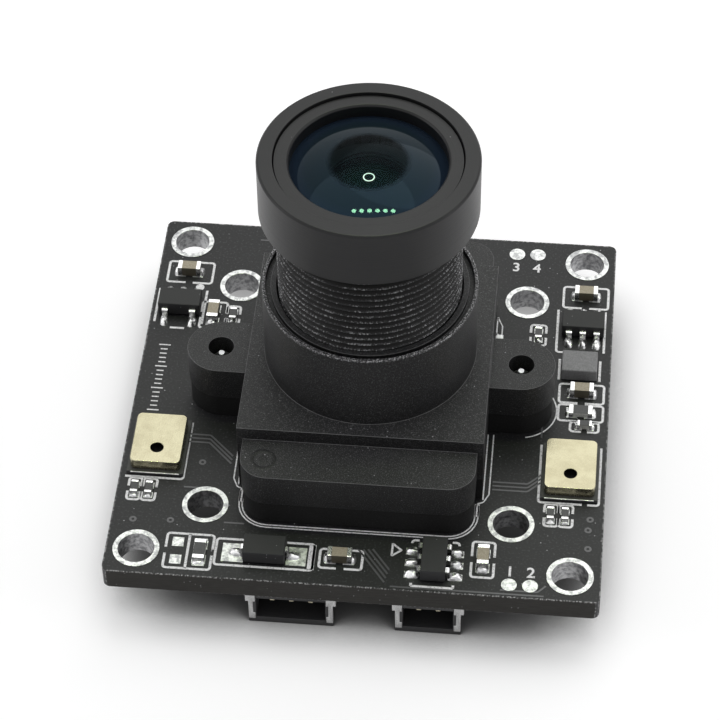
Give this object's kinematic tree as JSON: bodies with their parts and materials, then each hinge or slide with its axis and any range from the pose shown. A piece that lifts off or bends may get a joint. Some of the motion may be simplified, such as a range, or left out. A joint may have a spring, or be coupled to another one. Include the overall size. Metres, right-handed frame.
{
  "type": "board camera module",
  "caption": "Square camera board with a screw-focus lens in a moulded holder, an image sensor under it, surface microphones and side-entry wire headers.",
  "frame": {"origin": "centre of both mounting-hole patterns, on the underside of the circuit board", "axes": "+Z along the optical axis, out of the lens and away from the board's underside; -Y towards the board edge with the two small headers; +X to the right when that edge is at the front"},
  "size_m": [0.032, 0.032, 0.027],
  "materials": {
    "board": "satin",
    "plating": "satin",
    "holder": "matte",
    "screw": "satin",
    "sensor_ceramic": "matte",
    "sensor_silicon": "gloss",
    "cover_glass": "gloss",
    "filter_glass": "gloss",
    "barrel": "satin",
    "spacer": "matte",
    "lens_glass": "gloss",
    "microphone_base": "matte",
    "microphone_lid": "satin",
    "header_plastic": "matte",
    "contact": "satin",
    "solder_tin": "satin",
    "inductor": "matte",
    "crystal_can": "satin",
    "capacitor": "satin",
    "resistor": "matte",
    "chip": "matte"
  },
  "bodies": {
    "board": {"circuit_board": "board", "corner_hole_platings": "plating", "inner_hole_platings": "plating", "lens_holder": "holder", "holder_screws": "screw", "sensor_package": "sensor_ceramic", "sensor_die": "sensor_silicon", "sensor_cover_glass": "cover_glass", "infrared_filter": "filter_glass", "left_microphone_base": "microphone_base", "left_microphone_lid": "microphone_lid", "right_microphone_base": "microphone_base", "right_microphone_lid": "microphone_lid", "three_way_housing": "header_plastic", "three_way_contacts": "contact", "three_way_clips": "solder_tin", "two_way_housing": "header_plastic", "two_way_contacts": "contact", "two_way_clips": "solder_tin", "usb_housing": "header_plastic", "usb_contacts": "contact", "usb_clips": "solder_tin", "front_chip": "chip", "front_chip_leads": "solder_tin", "converter_chip": "chip", "converter_chip_leads": "solder_tin", "regulator_chip": "chip", "regulator_chip_leads": "solder_tin", "power_inductor": "inductor", "protection_diode": "chip", "protection_diode_leads": "solder_tin", "front_capacitor": "capacitor", "front_right_capacitor": "capacitor", "left_rear_capacitor": "capacitor", "left_side_capacitor": "capacitor", "right_rear_capacitor": "capacitor", "right_side_capacitor": "capacitor", "front_resistor": "resistor", "left_side_resistor": "resistor", "rear_right_resistor": "resistor", "right_side_resistors": "resistor", "left_microphone_resistors": "resistor", "right_microphone_resistors": "resistor", "controller_chip": "chip", "flash_chip": "chip", "flash_chip_leads": "solder_tin", "crystal": "crystal_can", "underside_capacitors": "capacitor"},
    "lens_stack": {"front_glass": "lens_glass", "upper_spacer": "spacer", "second_glass": "lens_glass", "middle_spacer": "spacer", "aperture_stop": "spacer", "third_glass": "lens_glass", "rear_spacer": "spacer", "rear_glass": "lens_glass"},
    "lens_barrel": {"lens_barrel": "barrel", "front_ring": "barrel"}
  },
  "joints": [
    {"name": "focus_travel", "type": "slide", "parent": "board", "child": "lens_stack", "axis": [0, 0, 1], "range_m": [-0.001, 0.001]},
    {"name": "focus_turn", "type": "hinge", "parent": "lens_stack", "child": "lens_barrel", "pos_m": [0, 0, 0.0181], "axis": [0, 0, 1], "range_deg": [-720, 720]}
  ],
  "couplings": [
    {"joint": "focus_turn", "follows": "focus_travel", "rad_per_m": 12566}
  ]
}
